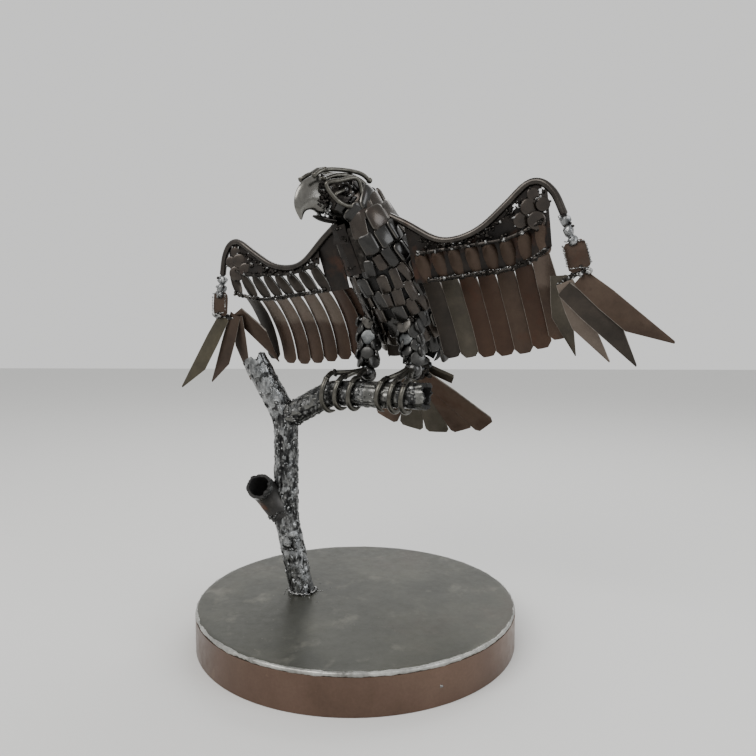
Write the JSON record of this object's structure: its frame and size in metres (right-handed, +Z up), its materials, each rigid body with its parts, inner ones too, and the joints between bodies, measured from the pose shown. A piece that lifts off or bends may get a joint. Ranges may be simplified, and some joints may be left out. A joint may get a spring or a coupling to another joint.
{
  "type": "scrap metal eagle sculpture",
  "caption": "Welded scrap steel eagle with half-raised wings, perched on a bent pipe branch that stands on a round steel drum base.",
  "frame": {"origin": "under the middle of the whole sculpture's outline, on the plane of the base's underside", "axes": "+Z up; +X towards the tip of the bird's left wing, the higher one; -Y towards the viewer of the picture"},
  "size_m": [0.4362, 0.3, 0.4263],
  "materials": {
    "plate_steel": "dark grey-green rolled plate, brushed and spotted",
    "band_steel": "scratched brownish grey band, satin",
    "weld_bark": "lumpy weld bead, dark with silver spatter",
    "rod_steel": "dark polished round bar",
    "feather_steel": "brown-grey oxidised strip with thin bright edges",
    "scale_steel": "dark lacquered plates with weld spots",
    "coin_steel": "shiny bluish steel",
    "beak_steel": "light satin steel"
  },
  "bodies": {
    "root": {"base_band": "band_steel", "base_top_plate": "plate_steel", "trunk_pipe": "weld_bark", "perch_pipe": "weld_bark", "lower_stub_pipe": "weld_bark", "left_foot": "coin_steel", "right_foot": "coin_steel", "left_leg": "coin_steel", "right_leg": "coin_steel", "back_plates": "scale_steel", "left_flank_plates": "scale_steel", "right_flank_plates": "scale_steel", "left_breast_plates": "scale_steel", "right_breast_plates": "scale_steel", "nape_plates": "scale_steel", "left_neck_plates": "scale_steel", "right_neck_plates": "scale_steel", "throat_bars": "scale_steel", "head_shell": "scale_steel", "lower_mandible": "scale_steel", "beak": "beak_steel", "left_eye": "rod_steel", "right_eye": "rod_steel", "brow_rods": "rod_steel", "left_wing_rod": "rod_steel", "right_wing_rod": "rod_steel", "left_coverts": "scale_steel", "right_coverts": "scale_steel", "left_wrist": "scale_steel", "right_wrist": "scale_steel", "left_secondary_1": "feather_steel", "left_secondary_2": "feather_steel", "left_secondary_3": "feather_steel", "left_secondary_4": "feather_steel", "left_secondary_5": "feather_steel", "left_secondary_6": "feather_steel", "left_secondary_7": "feather_steel", "right_secondary_1": "feather_steel", "right_secondary_2": "feather_steel", "right_secondary_3": "feather_steel", "right_secondary_4": "feather_steel", "right_secondary_5": "feather_steel", "right_secondary_6": "feather_steel", "right_secondary_7": "feather_steel", "left_primary_1": "feather_steel", "left_primary_2": "feather_steel", "left_primary_3": "feather_steel", "left_primary_4": "feather_steel", "right_primary_1": "feather_steel", "right_primary_2": "feather_steel", "right_primary_3": "feather_steel", "right_primary_4": "feather_steel", "belly_feather": "feather_steel", "tail_feather_1": "feather_steel", "tail_feather_2": "feather_steel", "tail_feather_3": "feather_steel", "tail_feather_4": "feather_steel", "tail_feather_5": "feather_steel", "tail_bar": "scale_steel"}
  },
  "joints": []
}
